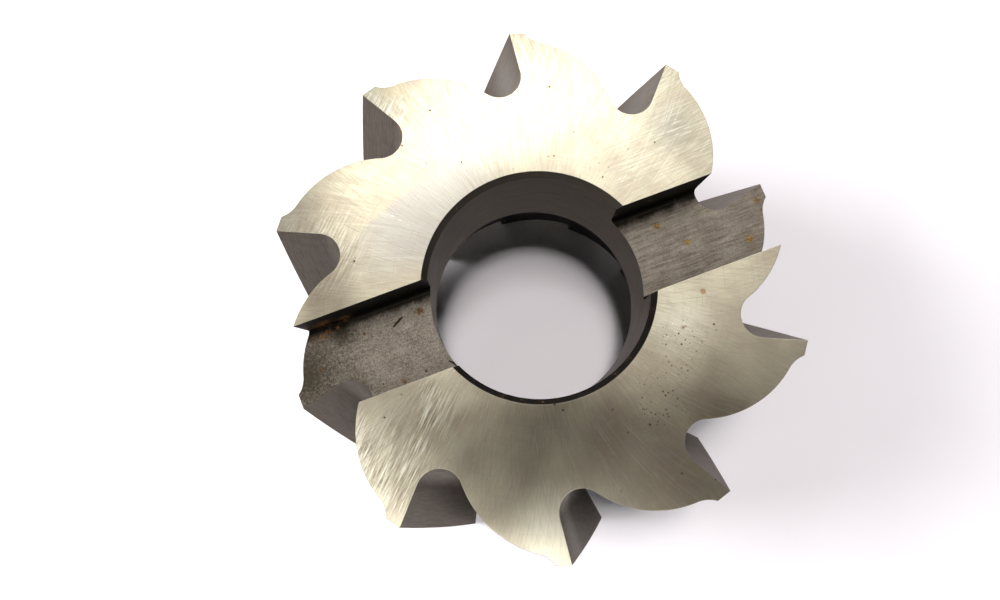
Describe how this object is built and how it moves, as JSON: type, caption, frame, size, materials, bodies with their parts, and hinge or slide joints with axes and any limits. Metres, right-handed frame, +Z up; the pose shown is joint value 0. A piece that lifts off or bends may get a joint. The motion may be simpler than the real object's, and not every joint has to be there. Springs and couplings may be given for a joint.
{
  "type": "shell end mill",
  "caption": "Ring-shaped milling cutter with helical side teeth, end teeth, a plain bore with a screw recess, and a drive slot across the back face.",
  "frame": {"origin": "centre of the bore at the plane of the cutting end, on which the cutter stands", "axes": "+Z up the bore towards the driving end, X along the drive slot, Y across it"},
  "size_m": [0.0758, 0.0762, 0.0444],
  "materials": {
    "tool_steel": "ground high-speed steel, worn, with light grinding lines and a few rust specks"
  },
  "bodies": {
    "root": {"shell_end_mill": "tool_steel"}
  },
  "joints": []
}
